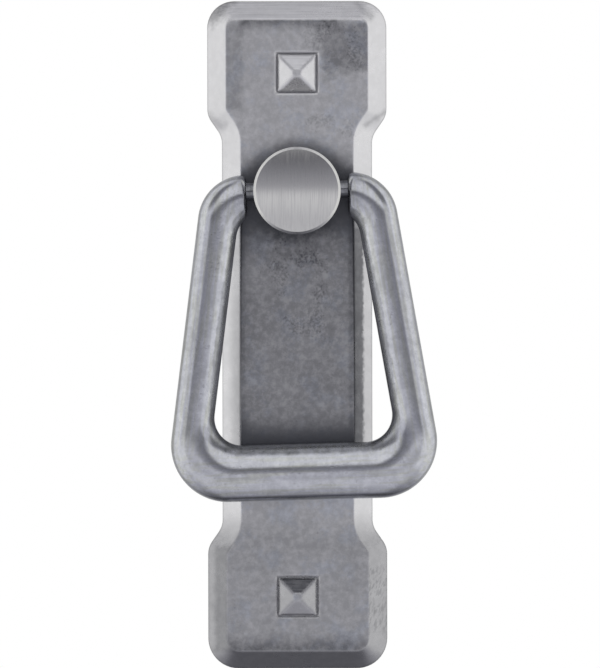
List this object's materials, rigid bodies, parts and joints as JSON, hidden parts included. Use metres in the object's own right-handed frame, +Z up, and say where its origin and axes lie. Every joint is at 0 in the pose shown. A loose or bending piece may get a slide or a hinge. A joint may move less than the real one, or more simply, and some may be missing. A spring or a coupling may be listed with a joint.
{
  "type": "drop bail pull",
  "caption": "Vertical cabinet pull with a bevelled back plate, raised square pyramids, a round knob post and a trapezoid drop bail that swings on it.",
  "frame": {"origin": "centre of the mounting screw's hole, in the plane of the back plate's rim", "axes": "+Z up along the back plate, +Y back into the drawer front, the knob and bail face -Y"},
  "size_m": [0.0391, 0.0115, 0.0984],
  "materials": {
    "cast_pewter": "antique pewter plating on a fine cast surface",
    "satin_nickel": "satin nickel, brushed up and down",
    "bail_pewter": "antique pewter plating, worn smooth, darker on the inner sides"
  },
  "bodies": {
    "fixed_part": {"back_plate": "cast_pewter", "pivot_post": "satin_nickel"},
    "swinging_bail": {"bail": "bail_pewter"}
  },
  "joints": [
    {"name": "bail_swing", "type": "hinge", "parent": "fixed_part", "child": "swinging_bail", "pos_m": [0, -0.0063, 0], "axis": [-1, 0, 0], "range_deg": [0, 180]}
  ]
}
